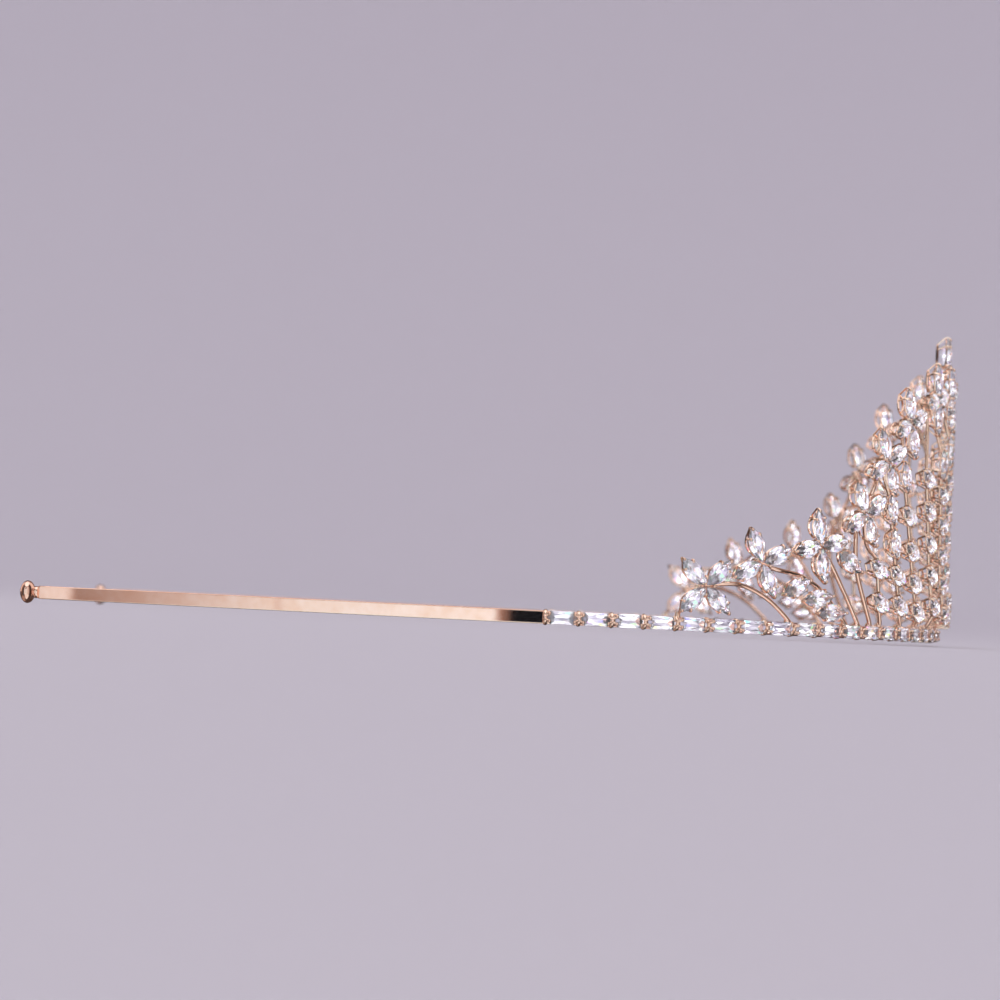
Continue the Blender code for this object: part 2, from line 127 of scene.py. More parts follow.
# Wires
WIRE_RADIUS = 0.39 * MM
COLUMN_WIRE_RADIUS = 0.34 * MM
WIRE_LEVEL = -0.55 * MM             # wires run just behind the girdles of the stones
BEHIND_LEVEL = -2.65 * MM
WIRE_OVERLAP = 0.1 * MM             # a column's wires reach this far under its stones
FOOT_BEAD = 0.55 * MM               # solder where a wire meets the rail
LEAF_LINK_START = 0.9 * MM
LEAF_LINK_WIRE = 0.3 * MM
PROUD = 1.15 * MM                   # towards the middle the crest stands in front of the row
PROUD_FOOT = 0.75 * MM              # and its lowest stones a little more
PROUD_TOP = -1.5 * MM               # while the flower on top leans back
PROUD_FROM = 27.0
PROUD_FULL = 9.0
FOOT_LEVEL = 2.6 * MM

Flower = namedtuple("Flower", "angle height turn")
FLOWERS = (
    Flower(67.4, 7.6 * MM, 45.0),
    Flower(58.7, 12.0 * MM, 25.0),
    Flower(48.4, 15.4 * MM, 11.0),
    Flower(39.2, 21.4 * MM, 30.0),
    Flower(34.2, 30.6 * MM, 27.0),
    Flower(27.7, 37.7 * MM, 20.0),
    Flower(18.0, 42.5 * MM, 11.0),
    Flower(8.5, 43.0 * MM, 30.0),
)
CENTRE_FLOWER = Flower(0.0, 48.3 * MM, 0.0)

SPRAY_WIRES = {
    1: ((64.3, 8.2 * MM), (61.2, 7.9 * MM), (57.3, 5.9 * MM), (53.7, FOOT_LEVEL)),
    2: ((56.0, 11.0 * MM), (52.6, 10.4 * MM), (50.2, 9.4 * MM), (47.6, 7.7 * MM),
        (42.6, FOOT_LEVEL)),
    3: ((46.8, 13.5 * MM), (39.7, FOOT_LEVEL)),
    4: ((41.0, 17.0 * MM), (40.3, 11.2 * MM), (36.7, FOOT_LEVEL)),
}
FLOWER_FOOT = (71.1, FOOT_LEVEL)

# tilt turns the long axis of a leaf stone up, aside turns its face towards the side, and share
# is its part of the full size
Leaf = namedtuple("Leaf", "angle height tilt aside share", defaults=(0.0, 1.0))
LEAVES = {
    2: (Leaf(52.6, 8.2 * MM, 27.0, 6.0), Leaf(48.6, 6.5 * MM, 11.0, 15.0),
        Leaf(45.8, 4.2 * MM, 2.0, 14.0)),
    4: (Leaf(42.4, 13.0 * MM, 146.0, 14.0),),
}

# lowest is the height of the first stone; each gap between two stones is wider by growth
Column = namedtuple("Column", "name flower foot_angle top_angle top_height lowest pitch growth "
                              "stones upright")
COLUMNS = (
    Column("5a", 5, 34.0, 37.2, 26.0 * MM, 6.3 * MM, 5.8 * MM, 0.0, 2, 0),
    Column("5b", 5, 27.8, 33.3, 26.0 * MM, 6.0 * MM, 5.2 * MM, 0.3 * MM, 4, 2),
    Column("6", 6, 21.8, 29.4, 31.0 * MM, 5.0 * MM, 5.0 * MM, 0.55 * MM, 5, 1),
    Column("7a", 7, 16.0, 21.6, 35.0 * MM, 6.2 * MM, 5.4 * MM, 0.1 * MM, 5, 0),
    Column("7b", 7, 10.4, 14.8, 37.0 * MM, 4.8 * MM, 5.2 * MM, 0.05 * MM, 6, 1),
    Column("8", 8, 5.2, 8.4, 37.6 * MM, 7.0 * MM, 5.4 * MM, 0.0, 6, 1),
)
PASS_BEHIND = {"5a": (16.5 * MM, 22.5 * MM, 26.0 * MM)}   # twice behind, then back in line
CENTRE_COLUMN = Column("centre", None, 0.0, 0.0, 42.0 * MM, 5.4 * MM, 5.6 * MM, 0.0, 7, 7)
LEAF_TILT = 154.0

# Camera and studio
VIEW_TARGET = FRONT_CENTRE + Vector((0.0, 9.4 * MM, 21.7 * MM))
VIEW_DISTANCE = 0.9
VIEW_YAW = 1.07                     # degrees from square on to the wearer's right
VIEW_RISE = -1.25                   # the lens is just above the floor and looks slightly up
VIEW_ROLL = 2.83
LENS = 180.0
FOCUS_AHEAD = 0.055                 # sharp on the near side; the middle of the front is softer
F_STOP = 28.0
BACKDROP = (0.66, 0.62, 0.68)
STAGE_RADIUS = 1.7
STAGE_CURVE = 0.7
STAGE_HEIGHT = 2.2
FLOOR_LEVEL = -0.8 * MM             # the balls hang a little lower than the band


# ---------------------------------------------------------------- shapes

class Shape:
    """Points and faces of one piece, gathered from closed shells."""

    def __init__(self):
        self.points = []
        self.faces = []

    def add(self, points, faces):
        first = len(self.points)
        self.points += [Vector(point) for point in points]
        self.faces += [tuple(first + index for index in face) for face in faces]


def on_front(angle, height, offset=0.0):
    """A point on the wearer's right of the front."""
    turn = math.radians(angle)
    radius = FRONT_RADIUS + offset
    return FRONT_CENTRE + Vector((-radius * math.sin(turn), -radius * math.cos(turn), height))


def outward(point):
    """The direction out of the half-round front at a point."""
    away = point - FRONT_CENTRE
    away.z = 0.0
    return away.normalized()


def eased(value, start, stop):
    """Rises smoothly from 0 at start to 1 at stop."""
    share = min(max((value - start) / (stop - start), 0.0), 1.0)
    return share * share * (3.0 - 2.0 * share)


def proud(angle, height):
    """How far the crest stands in front of the row."""
    full = PROUD + PROUD_FOOT * eased(height, 14.0 * MM, 4.0 * MM)
    full += PROUD_TOP * eased(height, 41.0 * MM, 50.0 * MM)
    return full * eased(angle, PROUD_FROM, PROUD_FULL)


def seat_frame(angle, height, tilt=0.0, aside=0.0):
    """Local X runs towards the middle of the front turned up by tilt, and Z outwards."""
    turn = math.radians(angle + aside)
    across = Vector((math.cos(turn), -math.sin(turn), 0.0))
    away = Vector((-math.sin(turn), -math.cos(turn), 0.0))
    seat = Matrix((across, Vector((0.0, 0.0, 1.0)), away)).transposed().to_4x4()
    offset = proud(abs(angle), height) if height > FOOT_LEVEL else 0.0
    seat.translation = on_front(angle, height, offset)
    return seat @ Matrix.Rotation(math.radians(tilt), 4, "Z")


def sweep(shape, rings, closed=False):
    """Join rings of points into one closed shell, as a bar with ends or as a loop."""
    count = len(rings[0])
    points = [point for ring in rings for point in ring]
    faces = []
    spans = len(rings) if closed else len(rings) - 1
    for span in range(spans):
        low = span * count
        high = (span + 1) % len(rings) * count
        for i in range(count):
            j = (i + 1) % count
            faces.append((low + i, low + j, high + j, high + i))
    if not closed:
        faces.append(tuple(reversed(range(count))))
        faces.append(tuple(range(len(points) - count, len(points))))
    shape.add(points, faces)


def tube(shape, path, radii, up, sides=8, closed=False):
    """A round bar. up is a direction, or a function that gives one for each point."""
    rings = []
    last = len(path) - 1
    for index, point in enumerate(path):
        before = path[index - 1] if closed or index else point
        after = path[(index + 1) % len(path)] if closed or index < last else point
        along = (after - before).normalized()
        upwards = up(point) if callable(up) else up
        across = upwards.cross(along).normalized()
        upwards = along.cross(across)
        radius = radii if isinstance(radii, float) else radii[index]
        ring = []
        for side in range(sides):
            turn = 2.0 * math.pi * side / sides
            ring.append(point + radius * (math.cos(turn) * across + math.sin(turn) * upwards))
        rings.append(ring)
    sweep(shape, rings, closed)


def bead(shape, centre, radius, axis, sides=8, belts=5):
    """A small round bead."""
    side = axis.orthogonal().normalized()
    path = []
    radii = []
    for belt in range(belts + 2):
        turn = math.pi * (belt + 0.25) / (belts + 1.5)
        path.append(centre - axis * (radius * math.cos(turn)))
        radii.append(radius * math.sin(turn))
    tube(shape, path, radii, side, sides)


def smooth_path(points, steps):
    """Points along a Catmull-Rom curve through the given points."""
    knots = [2 * points[0] - points[1]] + list(points) + [2 * points[-1] - points[-2]]
    path = []
    for a, b, c, d in zip(knots, knots[1:], knots[2:], knots[3:]):
        for step in range(steps):
            t = step / steps
            path.append(0.5 * (2 * b + (c - a) * t + (2 * a - 5 * b + 4 * c - d) * t ** 2
                               + (3 * b - a - 3 * c + d) * t ** 3))
    path.append(points[-1])
    return path


# ---------------------------------------------------------------- stones

def marquise_point(turn, half_length, half_width):
    """A point of a marquise outline, pointed at turns of 0 and 180 degrees."""
    angle = math.radians(turn)
    return Vector((half_length * math.cos(angle),
                   half_width * math.sin(angle) * abs(math.sin(angle)), 0.0))


def marquise_stone(shape, seat, length, width):
    """A brilliant-cut marquise: table, star, kite and girdle facets over a pointed pavilion."""
    a, b = 0.5 * length, 0.5 * width
    crown, pavilion = CROWN_SHARE * width, PAVILION_SHARE * width
    up = Vector((0.0, 0.0, 1.0))

    def ring(count, first, share, level):
        return [share * marquise_point(first + 360.0 * i / count, a, b) + level * up
                for i in range(count)]

    points = ring(16, 0.0, 1.0, GIRDLE_HALF)
    points += ring(8, 22.5, 0.79, 0.62 * crown + GIRDLE_HALF)
    points += ring(8, 0.0, 0.56, crown + GIRDLE_HALF)
    points += ring(16, 0.0, 1.0, -GIRDLE_HALF)
    points += ring(8, 22.5, 0.30, -0.72 * pavilion)
    points.append(-pavilion * up)
    girdle, middle, table, lower, keel, culet = 0, 16, 24, 32, 48, 56
    faces = [tuple(range(table, table + 8))]
    for i in range(8):
        j = (i + 1) % 8
        g0, g1, g2 = 2 * i, 2 * i + 1, (2 * i + 2) % 16
        faces.append((table + i, middle + i, table + j))
        faces.append((table + j, middle + i, girdle + g2))
        faces.append((table + j, girdle + g2, middle + j))
        faces.append((middle + i, girdle + g0, girdle + g1))
        faces.append((middle + i, girdle + g1, girdle + g2))
        faces.append((girdle + g0, lower + g0, lower + g1, girdle + g1))
        faces.append((girdle + g1, lower + g1, lower + g2, girdle + g2))
        faces.append((keel + i, lower + g1, lower + g0))
        faces.append((keel + i, lower + g2, lower + g1))
        faces.append((lower + g2, keel + i, keel + j))
        faces.append((culet, keel + j, keel + i))
    shape.add([seat @ point for point in points], faces)


def baguette_stone(shape, seat):
    """A rectangular stone with cut corners and a crossed, bow-tie pavilion."""
    l, h, c = 0.5 * BAGUETTE_LENGTH, 0.5 * BAGUETTE_HEIGHT, BAGUETTE_CORNER
    outline = ((l - c, h), (-l + c, h), (-l, h - c), (-l, -h + c),
               (-l + c, -h), (l - c, -h), (l, -h + c), (l, h - c))
    points = [Vector((x, y, GIRDLE_HALF)) for x, y in outline]
    points += [Vector((x, y, -GIRDLE_HALF)) for x, y in outline]
    table_l, table_h = l - BAGUETTE_BEVEL[0], h - BAGUETTE_BEVEL[1]
    points += [Vector((x * table_l, y * table_h, BAGUETTE_CROWN)) for x, y in
               ((1, 1), (-1, 1), (-1, -1), (1, -1))]
    keel = 0.42 * l
    points += [Vector((keel, 0.0, -BAGUETTE_DEPTH)), Vector((-keel, 0.0, -BAGUETTE_DEPTH))]
    points += [Vector((0.0, 0.5 * h, -0.45 * BAGUETTE_DEPTH)),
               Vector((0.0, -0.5 * h, -0.45 * BAGUETTE_DEPTH))]
    table, right, left, upper, under = 16, 20, 21, 22, 23
    faces = [(table, table + 1, table + 2, table + 3)]
    faces += [(0, 1, table + 1, table), (2, 3, table + 2, table + 1),
              (4, 5, table + 3, table + 2), (6, 7, table, table + 3)]
    faces += [(1, 2, table + 1), (3, 4, table + 2), (5, 6, table + 3), (7, 0, table)]
    for i in range(8):
        j = (i + 1) % 8
        faces.append((i, 8 + i, 8 + j, j))
    faces += [(8, upper, 9), (9, upper, left), (8, right, upper), (upper, right, left)]
    faces += [(12, under, 13), (13, under, right), (12, left, under), (under, left, right)]
    faces += [(9, left, 10), (10, left, 11), (11, left, 12)]
    faces += [(13, right, 14), (14, right, 15), (15, right, 8)]
    shape.add([seat @ point for point in points], faces)


# ---------------------------------------------------------------- settings

def claw(shape, seat, foot, side, away):
    """A claw that rises from the gallery ring past the girdle and ends in a bead on the stone.

    foot is its place on the gallery, side its place on the outline and away points out there.
    """
    low, middle, high = CLAW_LEVELS
    stations = [foot + Vector((0.0, 0.0, GALLERY_LEVEL)),
                side + CLAW_LEAN * away + Vector((0.0, 0.0, low)),
                side + CLAW_LEAN * away + Vector((0.0, 0.0, middle)),
                side - CLAW_REACH * away + Vector((0.0, 0.0, high))]
    path = [seat @ point for point in stations]
    up = seat.to_3x3() @ away
    along = seat.to_3x3() @ Vector((-away.y, away.x, 0.0))
    tube(shape, path, [CLAW_WIRE, CLAW_WIRE, 1.1 * CLAW_WIRE, CLAW_WIRE], along, 6)
    bead(shape, path[-1], CLAW_BEAD, up)


def marquise_basket(shape, seat, length, width, claw_turns):
    """An open setting: a gallery ring behind the stone, a collet ring under it and claws."""
    a, b = 0.5 * length, 0.5 * width
    up = seat.to_3x3() @ Vector((0.0, 0.0, 1.0))
    for share, level, wire, count in ((GALLERY_SHARE, GALLERY_LEVEL, GALLERY_WIRE, 24),
                                      (COLLET_SHARE, COLLET_LEVEL, COLLET_WIRE, 28)):
        path = []
        for i in range(count):
            point = share * marquise_point(360.0 * i / count, a, b)
            path.append(seat @ (point + Vector((0.0, 0.0, level))))
        tube(shape, path, wire, up, 6, closed=True)
    for turn in claw_turns:
        side = marquise_point(turn, a, b)
        ahead = marquise_point(turn + 4.0, a, b) - marquise_point(turn - 4.0, a, b)
        away = Vector((ahead.y, -ahead.x, 0.0)).normalized()
        claw(shape, seat, GALLERY_SHARE * side, side, away)


def leaf_seat(leaf):
    """The frame of a leaf stone."""
    return seat_frame(leaf.angle, leaf.height, leaf.tilt, leaf.aside)


def leaf_basket(shape, leaf):
    """The setting of one leaf stone, with claws at its tips and along its sides."""
    marquise_basket(shape, leaf_seat(leaf), leaf.share * LEAF_LENGTH, leaf.share * LEAF_WIDTH,
                    LEAF_CLAWS)


def petal_seats(flower):
    """The frames of the four petals of a flower, each with local X towards the petal's tip."""
    seats = []
    for quarter in range(4):
        seat = seat_frame(flower.angle, flower.height, flower.turn + 90.0 * quarter)
        seats.append(seat @ Matrix.Translation((PETAL_GAP + 0.5 * PETAL_LENGTH, 0.0, 0.0)))
    return seats


def flower_basket(shape, flower):
    """Four petal baskets that share claws in the crotches, on a small hub."""
    for seat in petal_seats(flower):
        marquise_basket(shape, seat, PETAL_LENGTH, PETAL_WIDTH, PETAL_CLAWS)
    for quarter in range(4):
        seat = seat_frame(flower.angle, flower.height, flower.turn + 90.0 * quarter + 45.0)
        side = Vector((CROTCH_REACH, 0.0, 0.0))
        claw(shape, seat, 0.7 * side, side, Vector((1.0, 0.0, 0.0)))
    hub = seat_frame(flower.angle, flower.height)
    out = hub.to_3x3() @ Vector((0.0, 0.0, 1.0))
    bead(shape, hub @ Vector((0.0, 0.0, GALLERY_LEVEL)), HUB_RADIUS, out)


# ---------------------------------------------------------------- wires

def wire(shape, stations, radius, steps=8):
    """A smooth wire through (angle, height, offset) stations."""
    points = []
    for angle, height, offset in stations:
        if height > FOOT_LEVEL:
            offset += proud(angle, height)
        points.append(on_front(angle, height, offset))
    path = smooth_path(points, steps) if len(points) > 2 else points
    tube(shape, path, [radius] * len(path), outward, 8)


def to_foot(angle, height):
    """The last stations of a wire, where it turns in behind the stones and joins the rail."""
    return [(angle, height, WIRE_LEVEL), (angle, height - 0.6 * MM, -1.2 * MM)]


def foot_flare(shape, angle):
    """The solder swelling where a wire meets the rail."""
    bead(shape, on_front(angle, FOOT_LEVEL - 0.2 * MM, -0.85 * MM), FOOT_BEAD,
         Vector((0.0, 0.0, 1.0)))


def spray_wire(shape, number, flower):
    """The wire from behind a flower to the rail."""
    stations = [(flower.angle, flower.height, GALLERY_LEVEL)]
    stations += [(angle, height, WIRE_LEVEL) for angle, height in SPRAY_WIRES[number][:-1]]
    foot = SPRAY_WIRES[number][-1]
    stations += to_foot(*foot)
    wire(shape, stations, WIRE_RADIUS)
    foot_flare(shape, foot[0])


def column_angle(column, height):
    """A column leans evenly from its foot to its top."""
    share = (height - FOOT_LEVEL) / (column.top_height - FOOT_LEVEL)
    return column.foot_angle + share * (column.top_angle - column.foot_angle)


def column_tilt(column):
    """The tilt of a stone that stands in line with its column."""
    across = FRONT_RADIUS * math.radians(column.top_angle - column.foot_angle)
    return 90.0 + math.degrees(math.atan2(across, column.top_height - FOOT_LEVEL))


def column_leaves(column):
    """The stones of a column, from the foot up."""
    leaves = []
    for index in range(column.stones):
        height = column.lowest + index * (column.pitch + 0.5 * (index - 1) * column.growth)
        angle = column_angle(column, height)
        if index >= column.stones - column.upright:
            leaves.append(Leaf(angle, height, column_tilt(column), share=UPRIGHT_SHARE))
        else:
            leaves.append(Leaf(angle, height, LEAF_TILT))
    return leaves


def edge_reach(column, leaf):
    """How far a leaf stone's outline lies from its middle along the line of its column."""
    a, b = 0.5 * leaf.share * LEAF_LENGTH, 0.5 * leaf.share * LEAF_WIDTH
    slant = math.radians(leaf.tilt - column_tilt(column))
    c, s = math.cos(slant), abs(math.sin(slant))
    bend = b * (c / a) ** 2
    return (-s + math.sqrt(s * s + 4.0 * bend * b)) / (2.0 * bend)


def column_wires(shape, column, flower):
    """Short wires between the stones of a column, from the rail to the back of its flower."""
    low = FOOT_LEVEL
    first = True
    for leaf in column_leaves(column):
        reach = edge_reach(column, leaf) - WIRE_OVERLAP
        high = leaf.height - reach
        stations = [(column_angle(column, high), high, WIRE_LEVEL)]
        if first:
            stations += to_foot(column.foot_angle, low)
            foot_flare(shape, column.foot_angle)
        else:
            stations.append((column_angle(column, low), low, WIRE_LEVEL))
        wire(shape, stations, COLUMN_WIRE_RADIUS)
        low = leaf.height + reach
        first = False
    stations = [(column_angle(column, low), low, WIRE_LEVEL)]
    for height, offset in zip(PASS_BEHIND.get(column.name, ()),
                              (BEHIND_LEVEL, BEHIND_LEVEL, WIRE_LEVEL)):
        stations.append((column_angle(column, height), height, offset))
    stations.append((flower.angle, flower.height, GALLERY_LEVEL))
    wire(shape, stations, COLUMN_WIRE_RADIUS)


def leaf_link(shape, number, leaf):
    """A short wire from a leaf's setting to the spray wire above it."""
    stations = SPRAY_WIRES[number]
    here = on_front(leaf.angle, leaf.height, WIRE_LEVEL)
    nearest = min((on_front(a0 + s * (a1 - a0) / 20.0, h0 + s * (h1 - h0) / 20.0, WIRE_LEVEL)
                   for (a0, h0), (a1, h1) in zip(stations, stations[1:]) for s in range(21)),
                  key=lambda point: (point - here).length)
    towards = (nearest - here).normalized()
    tube(shape, [here + LEAF_LINK_START * towards, nearest], LEAF_LINK_WIRE, outward, 8)


# ---------------------------------------------------------------- pieces

def show(node, shape, material, body="front", smooth=False, mirror=False, ride=True):
    """Make the visible piece that stands for a node."""
    points = shape.points
    faces = shape.faces
    if mirror:
        points = [Vector((-point.x, point.y, point.z)) for point in points]
        faces = [tuple(reversed(face)) for face in faces]
    mesh = bpy.data.meshes.new("fine_" + node)
    mesh.from_pydata(points, [], faces)
    if smooth:
        mesh.shade_smooth()
        mesh.set_sharp_from_angle(angle=math.radians(48.0))
    mesh.materials.append(material)
    piece = bpy.data.objects.new("fine_" + node, mesh)
    bpy.context.scene.collection.objects.link(piece)
    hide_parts(node)
    if ride:
        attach(piece, body)
    return piece


def show_pair(name, shape, material, smooth=False):
    """The same shape on the wearer's right and mirrored on the left."""
    show(name + "_right", shape, material, smooth=smooth)
    show(name + "_left", shape, material, smooth=smooth, mirror=True)


def spray_metal(number):
    """All the metal that hangs together with one flower of the crest."""
    flower = FLOWERS[number - 1]
    shape = Shape()
    flower_basket(shape, flower)
    if number in SPRAY_WIRES:
        spray_wire(shape, number, flower)
    for leaf in LEAVES.get(number, ()):
        leaf_basket(shape, leaf)
        leaf_link(shape, number, leaf)
    if number == 1:
        petal = petal_seats(flower)[2]
        tip = petal @ Vector((0.5 * PETAL_LENGTH, 0.0, -1.2 * MM))
        foot = on_front(FLOWER_FOOT[0], FOOT_LEVEL - 0.5 * MM, -1.0 * MM)
        tube(shape, [tip, foot], [0.4 * MM, 0.6 * MM], outward, 8)
    for column in COLUMNS:
        if column.flower == number:
            column_metal(shape, column, flower)
    return shape


def column_metal(shape, column, flower):
    """The baskets and wires of a column."""
    for leaf in column_leaves(column):
        leaf_basket(shape, leaf)
    column_wires(shape, column, flower)


def leaf_stones(leaves):
    """The stones of a column or of a spray."""
    shape = Shape()
    for leaf in leaves:
        marquise_stone(shape, leaf_seat(leaf), leaf.share * LEAF_LENGTH, leaf.share * LEAF_WIDTH)
    return shape


def petal_stones(flower):
    """The four petals of a flower."""
    shape = Shape()
    for seat in petal_seats(flower):
        marquise_stone(shape, seat, PETAL_LENGTH, PETAL_WIDTH)
    return shape


def rounded_section(low, high, bottom, top, rounding):
    """A rectangle with rounded corners as (offset, level) pairs, anticlockwise.

    A short straight piece on each side of a corner keeps the flats flat when shaded smooth.
    """
    lead = 0.05 * MM
    section = []
    corners = ((high, bottom, -90.0), (high, top, 0.0), (low, top, 90.0), (low, bottom, 180.0))
    for offset, level, first in corners:
        inner_offset = offset - math.copysign(rounding, offset - 0.5 * (low + high))
        inner_level = level - math.copysign(rounding, level - 0.5 * (bottom + top))
        for degrees, ahead in ((0.0, -lead), (0.0, 0.0), (30.0, 0.0), (60.0, 0.0), (90.0, 0.0),
                               (90.0, lead)):
            turn = math.radians(first + degrees)
            c, s = math.cos(turn), math.sin(turn)
            section.append((inner_offset + rounding * c - ahead * s,
                            inner_level + rounding * s + ahead * c))
    return section


def rail_piece(metal):
    """The rail, with a link between each two baguettes."""
    shape = Shape()
    section = rounded_section(RAIL_INNER, RAIL_OUTER, 0.0, BAND_HEIGHT, 0.16 * MM)
    rings = []
    for step in range(RAIL_STEPS + 1):
        angle = RAIL_END_ANGLE * (2.0 * step / RAIL_STEPS - 1.0)
        rings.append([on_front(angle, level, offset) for offset, level in section])
    sweep(shape, rings)
    for index in range(-ROW_STONES_PER_SIDE, ROW_STONES_PER_SIDE):
        row_link(shape, ROW_PITCH * (index + 0.5))
    for side in (-1.0, 1.0):
        row_link(shape, side * ROW_PITCH * (ROW_STONES_PER_SIDE + 0.5), ends=(side,))
    show("base_rail", shape, metal, smooth=True)


def row_link(shape, angle, ends=(-1.0, 1.0)):
    """The link between two baguettes: claws over their corners on an upright cup."""
    seat = seat_frame(angle, ROW_LEVEL)
    upright, out = (seat.to_3x3() @ Vector(axis) for axis in ((0, 1, 0), (0, 0, 1)))
    gap = 0.5 * (FRONT_RADIUS * math.radians(ROW_PITCH) - BAGUETTE_LENGTH)
    for end in ends:
        for rise in (-LINK_RISE, LINK_RISE):
            stations = [Vector((0.0, 0.3 * rise, 0.05 * MM)),
                        Vector((end * gap, 0.75 * rise, 0.1 * MM)),
                        Vector((end * (gap + LINK_REACH), rise, 0.32 * MM))]
            path = [seat @ point for point in stations]
            tube(shape, path, LINK_WIRE, upright, 8)
            bead(shape, path[-1], LINK_BEAD, out)
    cup = [seat @ Vector((0.0, rise * MM, level * MM)) for rise, level in LINK_CUP]
    along = seat.to_3x3() @ Vector((1.0, 0.0, 0.0))
    tube(shape, cup, LINK_CUP_WIRE, along, 8)
    bead(shape, seat @ Vector((0.0, 0.0, -0.05 * MM)), LINK_KNOB, out)


def arm_line(reach):
    """Half distance between the arms at a reach behind the front's centre."""
    return ARM_CENTRE - ARM_INSET * (reach / ARM_LENGTH) ** 2


def arm_shape():
    """The polished strip of the wearer's right arm, with rounded edges."""
    shape = Shape()
    half = 0.5 * ARM_THICKNESS
    section = rounded_section(-half, half, 0.0, BAND_HEIGHT, ARM_ROUNDING)
    rings = []
    for step in range(ARM_STEPS + 1):
        reach = ARM_LENGTH * step / ARM_STEPS - ARM_OVERLAP
        middle = arm_line(reach)
        rings.append([FRONT_CENTRE + Vector((-(middle + offset), reach, level))
                      for offset, level in section])
    for shrink, beyond in ARM_TIP:
        reach = ARM_LENGTH + beyond
        middle = arm_line(reach)
        rings.append([FRONT_CENTRE + Vector((
            -(middle + shrink * offset), reach,
            0.5 * BAND_HEIGHT + (0.6 + 0.4 * shrink) * (level - 0.5 * BAND_HEIGHT)))
            for offset, level in section])
    sweep(shape, [list(reversed(ring)) for ring in rings])
    return shape


def ball_shape():
    """The ball at the end of an arm, turned from one profile with a collar towards the strip."""
    shape = Shape()
    along = Vector((-(arm_line(BALL_REACH) - arm_line(ARM_LENGTH)),
                    BALL_REACH - ARM_LENGTH, 0.0)).normalized()
    centre = FRONT_CENTRE + Vector((-arm_line(BALL_REACH), BALL_REACH, 0.5 * BAND_HEIGHT))
    profile = [(level * MM, share * COLLAR_RADIUS) for level, share in COLLAR]
    for step in range(19):
        turn = math.radians(-60.0 + 150.0 * step / 18.0)
        radius = max(BALL_RADIUS * math.cos(turn), 0.02 * MM)
        profile.append((BALL_HALF_LENGTH * math.sin(turn), radius))
    path = [centre + level * along for level, radius in profile]
    tube(shape, path, [radius for level, radius in profile], Vector((0.0, 0.0, 1.0)), 28)
    return shape


def arm_pieces(metal):
    """Both arms, and the ball tips that ride on their ends."""
    for name, side in (("right", -1.0), ("left", 1.0)):
        body = "arm_" + name
        mirror = side > 0
        arm = show("arm_" + name, arm_shape(), metal, smooth=True,
                   mirror=mirror, ride=False)
        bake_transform(arm)
        show("ball_tip_" + name, ball_shape(), metal, body=body, smooth=True,
             mirror=mirror)


def row_pieces(crystal):
    """The baguettes: one in the middle and a run on each side."""
    middle = Shape()
    baguette_stone(middle, seat_frame(0.0, ROW_LEVEL))
    show("base_stone_centre", middle, crystal)
    side = Shape()
    for index in range(1, ROW_STONES_PER_SIDE + 1):
        baguette_stone(side, seat_frame(ROW_PITCH * index, ROW_LEVEL))
    show_pair("base_stones", side, crystal)


def crest_pieces(metal, crystal):
    """The flowers, their sprays and their columns."""
    for number, flower in enumerate(FLOWERS, start=1):
        show_pair("spray_" + str(number), spray_metal(number), metal, smooth=True)
        show_pair("flower_stones_" + str(number), petal_stones(flower), crystal)
    for number, leaves in LEAVES.items():
        show_pair("leaf_stones_" + str(number), leaf_stones(leaves), crystal)
    for column in COLUMNS:
        show_pair("column_stones_" + column.name, leaf_stones(column_leaves(column)),
                  crystal)
    centre = Shape()
    flower_basket(centre, CENTRE_FLOWER)
    column_metal(centre, CENTRE_COLUMN, CENTRE_FLOWER)
    show("spray_centre", centre, metal, smooth=True)
    show("flower_stones_centre", petal_stones(CENTRE_FLOWER), crystal)
    show("column_stones_centre", leaf_stones(column_leaves(CENTRE_COLUMN)), crystal)


# ---------------------------------------------------------------- materials

class Nodes:
    """A short way to write a node tree."""

    def __init__(self, tree):
        self.tree = tree

    def node(self, kind, values=None, **settings):
        made = self.tree.nodes.new(kind)
        for name, value in settings.items():
            setattr(made, name, value)
        for socket, value in (values or {}).items():
            if isinstance(value, bpy.types.NodeSocket):
                self.tree.links.new(value, made.inputs[socket])
            else:
                made.inputs[socket].default_value = value
        return made

    def maths(self, operation, *values):
        made = self.node("ShaderNodeMath", dict(enumerate(values)), operation=operation)
        return made.outputs[0]

    def noise(self, place, scale, detail=3.0, roughness=0.6):
        made = self.node("ShaderNodeTexNoise", {"Vector": place, "Scale": scale, "Detail": detail,
                                                "Roughness": roughness})
        return made.outputs["Fac"]

    def ramp(self, share, stops, interpolation="LINEAR"):
        made = self.node("ShaderNodeValToRGB", {"Fac": share})
        made.color_ramp.interpolation = interpolation
        while len(made.color_ramp.elements) < len(stops):
            made.color_ramp.elements.new(0.5)
        for element, (position, colour) in zip(made.color_ramp.elements, stops):
            if isinstance(colour, float):
                colour = (colour, colour, colour)
            element.position = position
            element.color = (*colour, 1.0)
        return made.outputs["Color"]

    def mix(self, share, first, second, blend="MIX"):
        made = self.node("ShaderNodeMix", data_type="RGBA", blend_type=blend)
        for socket, value in ((made.inputs[0], share), (made.inputs[6], first),
                              (made.inputs[7], second)):
            if isinstance(value, bpy.types.NodeSocket):
                self.tree.links.new(value, socket)
            elif socket.type == "RGBA":
                socket.default_value = (*value, 1.0)
            else:
                socket.default_value = value
        return made.outputs[2]


def new_material(name):
    """A material with an empty Principled shader, and its node writer."""
    material = bpy.data.materials.new(name)
    material.use_nodes = True
    nodes = Nodes(material.node_tree)
    shader = material.node_tree.nodes["Principled BSDF"]
    place = nodes.node("ShaderNodeTexCoord").outputs["Object"]
    return material, nodes, shader, place


